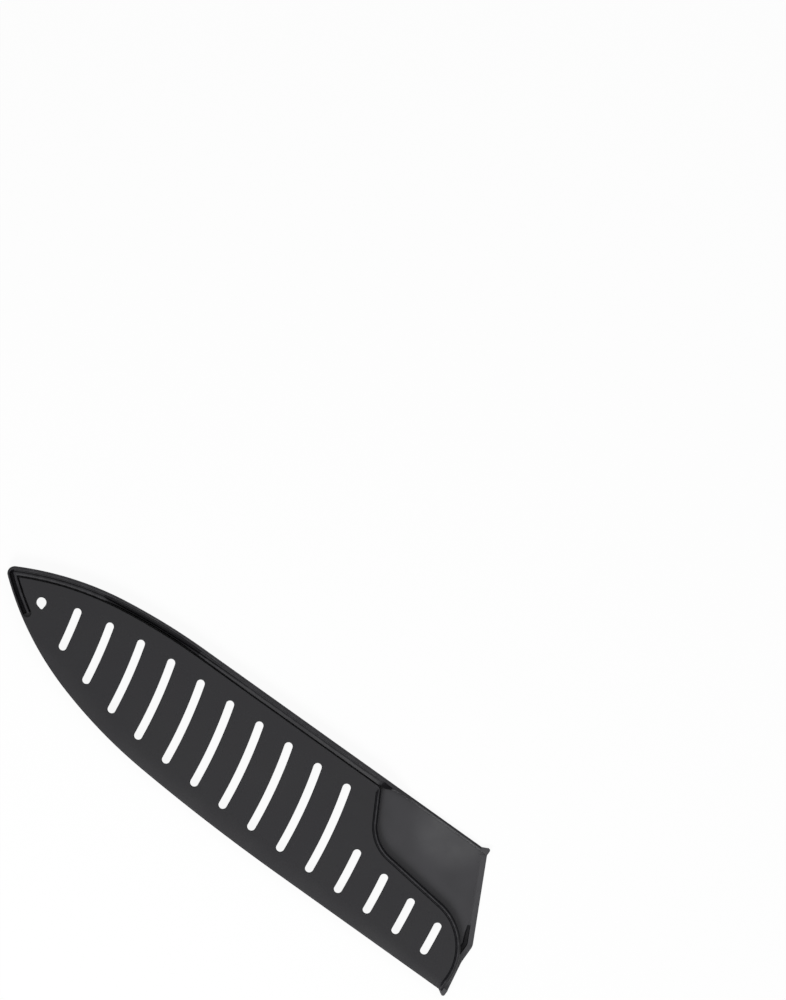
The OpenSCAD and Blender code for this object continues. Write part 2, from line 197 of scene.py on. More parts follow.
# Finish. Bends are in degrees, and noise scales in bumps per metre
# Edges that bend outward by this many degrees get the full lighter edge colour, which is partly wear and
# partly a painted highlight on rims and crests
WEAR_AND_HIGHLIGHT_BEND = 36
SHARP_BEND = 38
WELD = 0.002
# Deeper than this below the rail's top, the groove and the seam get the painted shade finish
PAINTED_SHADE_DEPTH = 0.9
GRAIN_SCALE = 3000.0
GRAIN_HEIGHT = 0.04
TONE_SCALE = 45.0
TONE_SPREAD = (0.82, 1.22)
GLOSS_SPREAD = 0.05
WEAR_AND_HIGHLIGHT_SCALE = 420.0
# A painted glare on the inside of the back plate near the mouth: a lighter, cloudy patch round the place
# below, standing in for the satin plate's reflection of the lamps
GLARE_SCALE = 60.0
GLARE_AT = (184, 0, BACK_T)
GLARE_CORE = 5.0
GLARE_REACH = 18.0

# Noise values that are stretched, and for the edge wear with its painted highlight and for the painted
# glare the shares they are stretched to
TONE_RANGE = (0.3, 0.7)
WEAR_AND_HIGHLIGHT_PATCHES = (0.4, 0.66, 0.05, 1.0)
GLARE_CLOUDS = (0.25, 0.7, 0.35, 1.0)

# Landmarks
MOUTH_X = GUARD_LENGTH - MOUTH_SETBACK
NUB_X = MOUTH_X - MOUTH_SLANT
HEEL_X = GUARD_LENGTH - HEEL_LIP
SCOOP_CORNER = (HEEL_X - SCOOP_LENGTH, -RAIL_W - SEAM_GAP)
CREST_END = SCOOP_CORNER[0] - SCOOP_CORNER_R
LOW_FROM = SCOOP_CORNER[0] + BARE_DROP
LOW_RIM_FROM = LOW_FROM - LOW_RIM_LEAD
SCOOP_FOOT = (HEEL_X - SCOOP_FOOT_BACK, -SCOOP_FOOT_DROP)
SCOOP_HEEL = (HEEL_X, -SCOOP_HEEL_DROP)

# Section of the rail at places along it: x, rim width, groove width, groove depth, how far the crest
# dips, and how far its round has turned into a slope toward the seam
SPINE_SECTIONS = (
    (8, 1.2, 0.6, 0.6, 0.0, 0.0),
    (30, 1.2, 0.6, 0.6, 0.0, 0.0),
    (42, 0.85, 1.5, 2.4, 2.3, 0.0),
    (62, 0.85, 1.5, 2.4, 2.3, 0.0),
    (72, 1.0, 1.1, 1.1, 0.9, 0.2),
    (86, 1.2, 0.6, 0.25, 0.15, 0.6),
    (98, 1.3, 0.5, 0.08, 0.0, 1.0),
    (140, 1.3, 0.5, 0.08, 0.0, 1.0),
    (CREST_END, 1.25, 0.35, 0.08, 0.0, 1.0),
)

# The same values, without x, on the cutting-edge side of the nose
EDGE_SECTION = (0.7, 1.4, 2.6, 0.0, 0.0)

# Floor of the groove: share across it, and share of its depth up to GROOVE_RISE
GROOVE_DIP = ((0.06, 0.35), (0.2, 0.07), (0.5, 0.0), (0.8, 0.07), (0.94, 0.35))
GROOVE_RISE = 0.6

# How finely the meshes are cut: stops along each piece of a path, and points across a profile
CURVE_STEPS = (16, 44, 18, 12)
RAIL_STEPS = (8, 28, 6, 24, *CURVE_STEPS)
SEAM_STEPS = (24, *CURVE_STEPS)
EDGE_STEPS = (24, 24, 20, 40)
MOUTH_STEPS = (6, 12, 4, 8, 20)
SCOOP_STEPS = (6, 28, 20, 24, 6, 10)
SLOT_STEPS = (16, 14, 16, 14)
HOLE_STEPS = (24, 4, 8, 4)
LUG_STEPS = (10, 4, 1, 1, 2)
LIP_POINTS = 5
RIM_POINTS = 7
DOME_POINTS = 11
LUG_POINTS = 7
BEAD_SIDE_FACES = 3
ROUND_STEPS = 8
SHOULDER_STEPS = 6
END_RINGS = 9
END_FAN = 18
TAIL_FAN = 12
TAIL_SWEEP = 165
HALVINGS = 30

# Rings of the rail with the inside's finish, and of the mouth's hollow with the painted shade finish
CREST_RINGS = 10
BARE_RINGS = RAIL_STEPS[0] + RAIL_STEPS[1] - CREST_RINGS
HOLLOW_RINGS = 16

# Floor and light, in metres
FLOOR_SIZE = 6.0
FLOOR_Z = -0.00002
FLOOR_COLOR = (0.85, 0.85, 0.85, 1)
FLOOR_ROUGHNESS = 0.9
FLOOR_SHINE = 0.1
FLOOR_WHITENESS = 0.93
WORLD_LIGHT = 0.35
KEY_AT = (0.06, -0.38, 0.50)
KEY_SIZE = 0.3
KEY_WATTS = 2.8
FILL_AT = (0.3, 0.7, 1.2)
FILL_SIZE = 0.9
FILL_WATTS = 5

# Camera. The photograph looks straight down, with the guard's length running down to the right
IMAGE_W, IMAGE_H = 786, 1000
MM_PER_PX = 0.3585
GUARD_TILT = 35.5
NOSE_PX = Vector((36.616, 529.882))
LENS = 300.0
SENSOR = 36.0
NEAREST = 0.05
FURTHEST = 20.0

# Material slots of the back shell, and of the cover
# The third slot of the back shell and the second of the cover hold a darker, less shiny plastic that is
# painted shade
OUTSIDE, INSIDE, PAINTED_SHADE, RUBBED_AND_HIGHLIT = range(4)
COVER_PAINTED_SHADE = 1


def unit(a):
    return Vector((math.cos(math.radians(a)), math.sin(math.radians(a))))


def angle_from(c, p):
    return math.degrees(math.atan2(p[1] - c[1], p[0] - c[0])) % 360


def circles_meet(c1, r1, c2, r2):
    """Where two circles cross, on the side nearer to the nose."""
    gap = (c2 - c1).length
    along = (r1 * r1 - r2 * r2 + gap * gap) / (2 * gap)
    u = (c2 - c1) / gap
    off = math.sqrt(r1 * r1 - along * along) * Vector((u.y, -u.x))
    return c1 + along * u + (off if off.x < 0 else -off)


def corner_arc(a, b, c, r):
    """The arc (centre, radius, first angle, last angle) that rounds corner b of the line a, b, c."""
    a, b, c = Vector(a), Vector(b), Vector(c)
    into, out = (b - a).normalized(), (c - b).normalized()
    side = 1 if into.x * out.y - into.y * out.x > 0 else -1
    turn = math.degrees(math.acos(max(-1.0, min(1.0, into.dot(out)))))
    centre = b - r * math.tan(math.radians(turn / 2)) * into + side * r * Vector((-into.y, into.x))
    first = math.degrees(math.atan2(-side * into.x, side * into.y))
    return (centre, r, first, first + side * turn)


SPINE_BACK_C = Vector((0, -SPINE_BACK_R))
SPINE_JOIN = 90 + SPINE_BACK_TURN
SPINE_NOSE_C = SPINE_BACK_C + (SPINE_BACK_R - SPINE_NOSE_R) * unit(SPINE_JOIN)
EDGE_BACK_C = Vector((BELLY_LAG, EDGE_BACK_R - GUARD_WIDTH))
EDGE_BACK_JOIN = 270 - EDGE_BACK_TURN
EDGE_MID_C = EDGE_BACK_C + (EDGE_BACK_R - EDGE_MID_R) * unit(EDGE_BACK_JOIN)
EDGE_MID_JOIN = EDGE_BACK_JOIN - EDGE_MID_TURN
EDGE_NOSE_C = EDGE_MID_C + (EDGE_MID_R - EDGE_NOSE_R) * unit(EDGE_MID_JOIN)


def nose_centre(d, r):
    return circles_meet(SPINE_NOSE_C, SPINE_NOSE_R - d - r, EDGE_NOSE_C, EDGE_NOSE_R - d - r)


# The arcs are set out from the spine's first one, and shifted so that the nose's tip is at x = 0
REACH = NOSE_R - nose_centre(0, NOSE_R).x
SHIFT = Vector((REACH, 0))
TAIL_ANGLE = 360 - math.degrees(math.acos((TAIL_X - REACH - EDGE_NOSE_C.x) / EDGE_NOSE_R))


def nose_radius(d):
    return max(NOSE_R - d, SHARP_R)


def line(a, b, normal):
    """A straight stretch, as (first point, last point, outward normal)."""
    return (Vector(a), Vector(b), Vector(normal))


def rail_path(d, xs):
    """Inset d of the outline, from the first x on the spine round the nose to the rail's tail."""
    r = nose_radius(d)
    c = nose_centre(d, r)
    meet_spine, meet_edge = angle_from(SPINE_NOSE_C, c), angle_from(EDGE_NOSE_C, c)
    straight = [line((a, -d), (b, -d), (0, 1)) for a, b in zip(xs, (*xs[1:], REACH))]
    return straight + [
        (SPINE_BACK_C + SHIFT, SPINE_BACK_R - d, 90, SPINE_JOIN),
        (SPINE_NOSE_C + SHIFT, SPINE_NOSE_R - d, SPINE_JOIN, meet_spine),
        (c + SHIFT, r, meet_spine, meet_edge),
        (EDGE_NOSE_C + SHIFT, EDGE_NOSE_R - d, meet_edge, TAIL_ANGLE),
    ]


def edge_path(d, x):
    """Inset d of the outline, from the rail's tail along the cutting edge to x."""
    return [
        (EDGE_NOSE_C + SHIFT, EDGE_NOSE_R - d, TAIL_ANGLE, EDGE_MID_JOIN),
        (EDGE_MID_C + SHIFT, EDGE_MID_R - d, EDGE_MID_JOIN, EDGE_BACK_JOIN),
        (EDGE_BACK_C + SHIFT, EDGE_BACK_R - d, EDGE_BACK_JOIN, 270),
        line((REACH + BELLY_LAG, -GUARD_WIDTH + d), (x, -GUARD_WIDTH + d), (0, -1)),
    ]


# Where the rail's straight pieces start, and the number of the piece that is the nose's arc
RAIL_XS = (NUB_X, LOW_FROM, CREST_END, SPINE_SECTIONS[-2][0])
NOSE_PIECE = len(RAIL_XS) + 2


def at(piece, t):
    """(point, outward normal) a share t along an arc or a straight stretch."""
    if len(piece) == 3:
        return piece[0].lerp(piece[1], t), piece[2]
    centre, r, first, last = piece
    u = unit(first + (last - first) * t)
    return centre + r * u, (u if last >= first else -u)


def stops(steps):
    """(piece number, share along it) for each stop of a path, without repeating the joins."""
    out = [(0, 0.0)]
    for k, n in enumerate(steps):
        out += [(k, i / n) for i in range(1, n + 1)]
    return out


def rings(path_at, steps, profile_at):
    """One ring of 3D points per stop. profile_at(k, t, x) lists (inset, height) there."""
    out = []
    for k, t in stops(steps):
        x = at(path_at(0)[k], t)[0].x
        ring = []
        for d, z in profile_at(k, t, x):
            p = at(path_at(d)[k], t)[0]
            ring.append(Vector((p.x, p.y, z)))
        out.append(ring)
    return out


def ring_at(p, n, profile):
    return [Vector((p.x - d * n.x, p.y - d * n.y, z)) for d, z in profile]


def normal_rings(path, steps, profile_at):
    """As rings, but each point stands off the path along its normal."""
    out = []
    for k, t in stops(steps):
        p, n = at(path[k], t)
        out.append(ring_at(p, n, profile_at(k, t, p.x)))
    return out


def quarter(cx, cz, r, first, count=LIP_POINTS):
    """Quarter round of a profile, turning clockwise from an angle."""
    angles = [math.radians(first - 90 * i / (count - 1)) for i in range(count)]
    return [(cx + r * math.cos(a), cz + r * math.sin(a)) for a in angles]


def lip(r, count=LIP_POINTS):
    """Rounded lower edge as (inset, height), from the underside to the upright side."""
    angles = [math.radians(90 * i / (count - 1)) for i in range(count)]
    return [(r - r * math.sin(a), r - r * math.cos(a)) for a in angles]


def placed(p):
    """A plan point in the row frame, in metres."""
    return (
        (p[0] - GUARD_LENGTH / 2) * MM,
        (p[1] + (GUARD_WIDTH + FOOT_H - NUB_H) / 2) * MM,
        p[2] * MM,
    )


class Shell:
    """Gathers the closed skins that make up one moulding. Points on a plate's flat faces get no edge
    scuffing and no painted highlight.
    """

    def __init__(self):
        self.bm = bmesh.new()
        self.level = self.bm.verts.layers.int.new("level")

    def grid(self, loops, closed):
        """Vertices of the rings, and the pairs of rings that are joined."""
        rows = [[self.bm.verts.new(placed(p)) for p in ring] for ring in loops]
        pairs = list(zip(rows, rows[1:]))
        if closed:
            pairs.append((rows[-1], rows[0]))
        return rows, pairs

    def sweep(self, loops, finish_at=lambda i, j, p: 0):
        """A bar: rings joined in order, each ring closed, with a flat face at both ends."""
        rows, pairs = self.grid(loops, False)
        for i, (a, b) in enumerate(pairs):
            for j in range(len(a)):
                k = (j + 1) % len(a)
                face = self.bm.faces.new((a[j], a[k], b[k], b[j]))
                face.material_index = finish_at(i, j, (loops[i][j] + loops[i][k]) / 2)
        self.bm.faces.new(list(reversed(rows[0])))
        self.bm.faces.new(rows[-1])

    def plate(self, outer, holes=(), top_finish=0, side_finish=lambda i, j: 0):
        """A plate: a closed run of rings from its underside to its top, and one run for each hole."""
        borders = []
        for loops in (outer, *holes):
            rows, pairs = self.grid(loops, True)
            for i, (a, b) in enumerate(pairs):
                for j in range(len(a) - 1):
                    face = self.bm.faces.new((a[j], a[j + 1], b[j + 1], b[j]))
                    face.material_index = side_finish(i, j) if loops is outer else 0
            for row in rows:
                row[0][self.level] = row[-1][self.level] = 1
            borders.append(rows)
        for side, flip in ((0, True), (-1, False)):
            verts = [[row[side] for row in rows] for rows in borders]
            flat = [v for loop in verts for v in loop]
            tris = tessellate_polygon([[v.co for v in loop] for loop in verts])
            for t in tris:
                corners = [flat[i] for i in t]
                ccw = (corners[1].co - corners[0].co).cross(corners[2].co - corners[0].co).z > 0
                if ccw == flip:
                    corners.reverse()
                face = self.bm.faces.new(corners)
                face.material_index = 0 if flip else top_finish

    def finish(self, name, materials):
        """The moulding as an object, with each point's edge scuffing and painted highlight from how far its
        edges bend outward.
        """
        bm = self.bm
        bmesh.ops.remove_doubles(bm, verts=bm.verts, dist=WELD * MM)
        bmesh.ops.recalc_face_normals(bm, faces=bm.faces)
        # Edge wear and painted highlight: the more a point's edges bend outward, the lighter it is painted,
        # so rims and crests carry a painted highlight as well as wear
        wear_and_highlight = bm.verts.layers.float.new("edge_wear_and_highlight")
        for v in bm.verts:
            bends = [e.calc_face_angle_signed(0.0) for e in v.link_edges if len(e.link_faces) == 2]
            v[wear_and_highlight] = 0.0 if v[self.level] else min(1.0, max(0.0, *bends) / math.radians(WEAR_AND_HIGHLIGHT_BEND))
        mesh = bpy.data.meshes.new(name)
        bm.to_mesh(mesh)
        bm.free()
        mesh.shade_smooth()
        mesh.set_sharp_from_angle(angle=math.radians(SHARP_BEND))
        for material in materials:
            mesh.materials.append(material)
        piece = bpy.data.objects.new(name, mesh)
        bpy.context.scene.collection.objects.link(piece)
        weighted = piece.modifiers.new("weighted", "WEIGHTED_NORMAL")
        weighted.keep_sharp = True
        return piece


def spine_depth(p):
    """How far a point lies inside the spine's side of the outline."""
    q = p - SHIFT
    if q.x >= 0:
        return -q.y
    if angle_from(SPINE_BACK_C, q) <= SPINE_JOIN:
        return SPINE_BACK_R - (q - SPINE_BACK_C).length
    return SPINE_NOSE_R - (q - SPINE_NOSE_C).length


def edge_depth(p):
    """How far a point lies inside the cutting edge's side of the outline."""
    q = p - SHIFT
    if q.x >= BELLY_LAG:
        return q.y + GUARD_WIDTH
    if angle_from(EDGE_BACK_C, q) >= EDGE_BACK_JOIN:
        return EDGE_BACK_R - (q - EDGE_BACK_C).length
    if angle_from(EDGE_MID_C, q) >= EDGE_MID_JOIN:
        return EDGE_MID_R - (q - EDGE_MID_C).length
    return EDGE_NOSE_R - (q - EDGE_NOSE_C).length


def scoop_depth(p):
    """How far a point lies inside the scoop's straight part."""
    along = (Vector(SCOOP_FOOT) - Vector(SCOOP_HEEL)).normalized()
    return (p - Vector(SCOOP_HEEL)).dot(Vector((-along.y, along.x)))


def root_of(f, low, high):
    """Root of a rising function."""
    for _ in range(HALVINGS):
        middle = (low + high) / 2
        low, high = (low, middle) if f(middle) > 0 else (middle, high)
    return (low + high) / 2


def slot_path(x):
    """Closed arc path of one slot, taken with the opening on the left."""
    half = SLOT_W / 2
    c = Vector((x - SLOT_ARCH_R, -GUARD_WIDTH - SLOT_ARCH_DROP))

    def angle(y):
        return math.degrees(math.asin((GUARD_WIDTH + SLOT_ARCH_DROP - y) / SLOT_ARCH_R))

    def point(a):
        return c + SLOT_ARCH_R * unit(a)

    low = root_of(lambda a: edge_depth(point(a)) - EDGE_MARGIN - half, 0, angle(GUARD_WIDTH / 2))
    high = root_of(lambda a: SPINE_MARGIN + half - spine_depth(point(a)), low, angle(0))
    if point(high).x + half + SCOOP_MARGIN > SCOOP_CORNER[0]:
        high = root_of(lambda a: SCOOP_MARGIN + half - scoop_depth(point(a)), low, angle(0))
    return [
        (c, SLOT_ARCH_R + half, low, high),
        (point(high), half, high, high + 180),
        (c, SLOT_ARCH_R - half, high, low),
        (point(low), half, low + 180, low + 360),
    ]


def slot_x(i):
    """Where the arc of slot i starts, with a pitch that changes by a step from slot to slot."""
    return FIRST_SLOT_X + i * SLOT_PITCH + SLOT_PITCH_STEP * i * (i - 1) / 2


def slot_paths():
    out = []
    while slot_x(len(out)) + SLOT_W / 2 + HEEL_MARGIN < HEEL_X:
        out.append(slot_path(slot_x(len(out))))
    return out


def hole_path():
    """Drop shape: two arcs and the straight sides between them."""
    apart = HOLE_LENGTH - HOLE_R - HOLE_TIP_R
    flank = math.degrees(math.acos((HOLE_R - HOLE_TIP_R) / apart))
    middle = Vector((HOLE_X, -HOLE_DROP))
    big = (middle, HOLE_R, HOLE_TURN + flank, HOLE_TURN + 360 - flank)
    tip = (middle + apart * unit(HOLE_TURN), HOLE_TIP_R, HOLE_TURN - flank, HOLE_TURN + flank)
    out = []
    for arc, after in ((big, tip), (tip, big)):
        out += [arc, line(at(arc, 1)[0], at(after, 0)[0], at(arc, 1)[1])]
    return out


def openings(z0, z1):
    """Rings of all slots and of the hanging hole, through a plate from z0 to z1, with rounded lips."""
    low = [(-d, z0 + z) for d, z in lip(LIP_R)]
    high = [(-d, z1 - z) for d, z in reversed(lip(LIP_R))]
    paths = [(path, SLOT_STEPS) for path in slot_paths()] + [(hole_path(), HOLE_STEPS)]
    return [normal_rings(path, steps, lambda k, t, x: low + high)[:-1] for path, steps in paths]


# Plastic


def mapped(nodes, links, value, low, high, to_low, to_high):
    """Value stretched from low..high to to_low..to_high with soft ends."""
    node = nodes.new("ShaderNodeMapRange")
    node.interpolation_type = "SMOOTHSTEP"
    node.inputs["From Min"].default_value = low
    node.inputs["From Max"].default_value = high
    node.inputs["To Min"].default_value = to_low
    node.inputs["To Max"].default_value = to_high
    links.new(value, node.inputs["Value"])
    return node.outputs["Result"]


def product(nodes, links, a, b):
    node = nodes.new("ShaderNodeMath")
    node.operation = "MULTIPLY"
    links.new(a, node.inputs[0])
    links.new(b, node.inputs[1])
    return node.outputs["Value"]


def toward(nodes, links, share, color, other):
    """Colour mixed toward another by a share."""
    node = nodes.new("ShaderNodeMix")
    node.data_type = "RGBA"
    node.inputs["B"].default_value = (*other, 1)
    links.new(share, node.inputs["Factor"])
    links.new(color, node.inputs["A"])
    return node.outputs["Result"]


def plastic(name, base, roughness, shine, grain, wear_and_highlight, painted_glare=None):
    """Black moulded plastic: fine grain, uneven tone, edges lightened where they bend outward, partly as
    scuffing and partly as painted highlight, and a painted glare patch if given a colour.
    """
    mat = bpy.data.materials.new(name)
    mat.use_nodes = True
    nodes, links = mat.node_tree.nodes, mat.node_tree.links
    shader = nodes["Principled BSDF"]
    shader.inputs["Specular IOR Level"].default_value = shine
    place = nodes.new("ShaderNodeTexCoord").outputs["Object"]

    def noise(scale, detail):
        node = nodes.new("ShaderNodeTexNoise")
        node.inputs["Scale"].default_value = scale
        node.inputs["Detail"].default_value = detail
        links.new(place, node.inputs["Vector"])
        return node.outputs["Fac"]

    tone = noise(TONE_SCALE, detail=4.0)
    tint = nodes.new("ShaderNodeValToRGB")
    for element, stop, factor in zip(tint.color_ramp.elements, TONE_RANGE, TONE_SPREAD):
        element.position = stop
        element.color = (*[c * factor for c in base], 1)
    links.new(tone, tint.inputs["Fac"])
    gloss = mapped(nodes, links, tone, *TONE_RANGE, roughness - GLOSS_SPREAD, roughness + GLOSS_SPREAD)

    # Edge wear and painted highlight: outward-bending edges are mixed in patches toward a lighter colour,
    # partly wear and partly a highlight painted along rims and crests
    edge = nodes.new("ShaderNodeAttribute")
    edge.attribute_name = "edge_wear_and_highlight"
    patches = mapped(nodes, links, noise(WEAR_AND_HIGHLIGHT_SCALE, detail=6.0), *WEAR_AND_HIGHLIGHT_PATCHES)
    wear_and_highlight_share = product(nodes, links, edge.outputs["Fac"], patches)
    color = toward(nodes, links, wear_and_highlight_share, tint.outputs["Color"], wear_and_highlight)
    # Painted glare: the colour is lifted toward a light grey in a cloudy patch round one place, in place of
    # a reflection
    if painted_glare:
        away = nodes.new("ShaderNodeVectorMath")
        away.operation = "DISTANCE"
        away.inputs[1].default_value = placed(GLARE_AT)
        links.new(place, away.inputs[0])
        near = mapped(nodes, links, away.outputs["Value"], GLARE_CORE * MM, GLARE_REACH * MM, 1.0, 0.0)
        cloudy = mapped(nodes, links, noise(GLARE_SCALE, detail=5.0), *GLARE_CLOUDS)
        color = toward(nodes, links, product(nodes, links, near, cloudy), color, painted_glare)
    links.new(color, shader.inputs["Base Color"])
    links.new(gloss, shader.inputs["Roughness"])

    bump = nodes.new("ShaderNodeBump")
    bump.inputs["Strength"].default_value = grain
    bump.inputs["Distance"].default_value = GRAIN_HEIGHT * MM
    links.new(noise(GRAIN_SCALE, detail=3.0), bump.inputs["Height"])
    links.new(bump.outputs["Normal"], shader.inputs["Normal"])
    return mat


outside = plastic(
    "textured_black", base=(0.0048, 0.0045, 0.0060), roughness=0.55, shine=0.27, grain=0.8,
    wear_and_highlight=(0.027, 0.0265, 0.030),
)
# The inside is a satin finish; its base colour is set far lighter than the outside's, which paints part of
# the satin sheen into its colour
inside = plastic(
    "satin_black", base=(0.0225, 0.0220, 0.0250), roughness=0.42, shine=0.3, grain=0.15,
    # The last colour is the light grey of the painted glare patch
    wear_and_highlight=(0.024, 0.0235, 0.0265), painted_glare=(0.066, 0.066, 0.069),
)
# Lighter plastic for the mouth's bevel and the lugs: partly rubbed by the blade, partly a painted highlight
# on these rounded faces
rubbed_and_highlit = plastic(
    "rubbed_and_highlit_black", base=(0.038, 0.0375, 0.041), roughness=0.48, shine=0.3, grain=0.1,
    wear_and_highlight=(0.050, 0.0495, 0.053),
)
# Painted shade: a darker, less shiny plastic put in the deep groove, the seam, the mouth's hollow and the
# scoop bead's outer side, where shade falls
painted_shade_black = plastic(
    "painted_shade_black", base=(0.0045, 0.0043, 0.0055), roughness=0.5, shine=0.11, grain=0.1,
    wear_and_highlight=(0.005, 0.005, 0.006),
)


# Back shell


def lead_in(hollow):
    """Mouth edge: a small round, the bevel, and behind it a line that widens to a hollow by a share."""
    foot = BACK_T - LEAD_IN_DEPTH
    floor = BACK_T - LINE_DEPTH - HOLLOW_DEPTH * hollow
    start = LEAD_IN_W + LINE_SIDE
    end = start + LINE_W + HOLLOW_W * hollow
    level = end + HOLLOW_SIDE
    return [
        (0, foot - MOUTH_R), (MOUTH_R / 3, foot - MOUTH_R / 3), (MOUTH_R, foot),
        (LEAD_IN_W - LEAD_IN_END_W, BACK_T - LEAD_IN_END_DEPTH), (LEAD_IN_W, BACK_T - LEAD_IN_STEP),
        (start, floor), (end, floor), (level, BACK_T), (level + HOLLOW_BORDER, BACK_T),
    ]


def wall_foot():
    return [(ROOT_INSET, BURIED), (ROOT_INSET, 0)] + lip(UNDER_R)


# Numbers of faces across a profile: the mouth's bevel, and where the rim's inner round and the groove start
BEVEL_FACE = LIP_POINTS + 2
INNER_FROM = len(wall_foot()) + RIM_POINTS - 2
GROOVE_FROM = len(wall_foot()) + RIM_POINTS + LIP_POINTS - 1


def blend(a, b, t):
    return [(p[0] + (q[0] - p[0]) * t, p[1] + (q[1] - p[1]) * t) for p, q in zip(a, b)]


def smooth(t):
    t = min(1.0, max(0.0, t))
    return t * t * (3 - 2 * t)


def rail_section(k, t, x):
    """What SPINE_SECTIONS lists after x, at a stop of the rail's path."""
    for low, high in zip(SPINE_SECTIONS, SPINE_SECTIONS[1:]):
        if x <= high[0]:
            break
    share = smooth((x - low[0]) / (high[0] - low[0]))
    here = [a + (b - a) * share for a, b in zip(low[1:], high[1:])]
    if k < NOSE_PIECE:
        return here
    share = smooth(t) if k == NOSE_PIECE else 1.0
    return [a + (b - a) * share for a, b in zip(SPINE_SECTIONS[0][1:], EDGE_SECTION)]


def crest(inner, span, low, sloped):
    """Round crest that ends at an inset of inner, turned by a share into a slope toward the seam."""
    round_top, slope_top = [], []
    for i in range(DOME_POINTS):
        u = i / (DOME_POINTS - 1)
        a = math.pi * u
        if u < SLOPE_PEAK:
            fall = (1 - u / SLOPE_PEAK) ** 2 / 2
        else:
            fall = ((u - SLOPE_PEAK) / (1 - SLOPE_PEAK)) ** SLOPE_CURVE
        round_top.append((inner - span * (1 + math.cos(a)) / 2, low + CREST_DROP * math.sin(a)))
        slope_top.append((inner - span * (1 - u), low + CREST_DROP - SLOPE_DROP * fall))
    return blend(round_top, slope_top, sloped)


def bare_side(rim, top, inner_r, foot_r, count):
    """Inner side of the bare wall, with a filleted foot, as count points down into the plate."""
    foot_at = rim + 2 * FACE_LEAN + foot_r
    face_top = top - inner_r
    face = [(rim + FACE_LEAN * i, face_top + (BACK_T + foot_r - face_top) * i / 3) for i in (1, 2)]
    turns = count - 4
    angles = [math.radians(90 * i / turns) for i in range(turns + 1)]
    fillet = [(foot_at - foot_r * math.cos(a), BACK_T + foot_r - foot_r * math.sin(a)) for a in angles]
    return face + fillet + [(foot_at, BURIED)]


def rail_profile(k, t, x):
    """Wall, rounded rim, groove and crest, which turn into a thin bare wall past the crest's end."""
    rim, groove, depth, dip_crest, sloped = rail_section(k, t, x)
    inner = RAIL_W - SEAM_OPEN
    low = RAIL_Z - depth
    dip = [(rim + groove * u, low + min(depth, GROOVE_RISE) * rise) for u, rise in GROOVE_DIP]
    dome = crest(inner, inner - rim - groove, RAIL_Z - CREST_DROP - dip_crest, sloped)
    groove_side = dip + dome + [(inner, SEAT_Z), (inner, BACK_T), (inner, BURIED)]

    share = smooth((x - CREST_END) / CREST_RAMP)
    fall = smooth((x - CREST_END) / (LOW_FROM - CREST_END))
    foot_fall = smooth((x - CREST_END) / FOOT_RUN)
    top = RAIL_Z + (BARE_Z - RAIL_Z) * fall
    rim_r = RIM_R + (LOW_RIM_R - RIM_R) * fall
    foot_r = FOOT_FILLET_R + (LOW_FILLET_R - FOOT_FILLET_R) * foot_fall
    bare_r = BARE_INNER_R + (LOW_INNER_R - BARE_INNER_R) * foot_fall
    inner_r = RIM_INNER_R + (bare_r - RIM_INNER_R) * share
    bare = bare_side(rim, top, bare_r, foot_r, len(groove_side))
    return (
        wall_foot()
        + quarter(rim_r, top - rim_r, rim_r, 180, RIM_POINTS)
        + quarter(rim - inner_r, top - inner_r, inner_r, 90)
        + blend(groove_side, bare, share)
    )


def rail_finish(ring, j, p):
    """The inside's finish on the bare wall, and painted shade deep in the groove and in the seam: a darker,
    less shiny plastic.
    """
    if ring < BARE_RINGS:
        return INSIDE if j >= (INNER_FROM if p.x > LOW_RIM_FROM else GROOVE_FROM) else OUTSIDE
    # Painted shade deep in the groove and in the seam
    return PAINTED_SHADE if j >= GROOVE_FROM and p.z < RAIL_Z - PAINTED_SHADE_DEPTH else OUTSIDE


def mouth_path():
    """The back plate's open edge, from the cutting-edge wall to the rail."""
    low = (GUARD_LENGTH, -GUARD_WIDTH + EDGE_WALL)
    high = (MOUTH_X, -HEEL_LIP_DROP)
    slant_low = (MOUTH_X, -MOUTH_SLANT_DROP)
    slant_high = (NUB_X, -RIM_W)
    swing = corner_arc(low, high, slant_low, HEEL_LIP_DROP - MOUTH_SLANT_DROP)
    bend = corner_arc(high, slant_low, slant_high, MOUTH_BEND_R)
    return [
        line(low, at(swing, 0)[0], at(swing, 0)[1]),
        swing,
        line(at(swing, 1)[0], at(bend, 0)[0], at(bend, 0)[1]),
        bend,
        line(at(bend, 1)[0], slant_high, at(bend, 1)[1]),
    ]


def mouth_profile(k, t, x):
    """The hollow grows along the mouth's path, counted in pieces, and fades out on its last one."""
    fade = smooth((t - FADE_FROM) / FADE_SPAN) if k == len(MOUTH_STEPS) - 1 else 0.0
    hollow = smooth((k + t - HOLLOW_FROM) / HOLLOW_SPAN) * (1 - fade)
    return lip(UNDER_R) + lead_in(hollow)


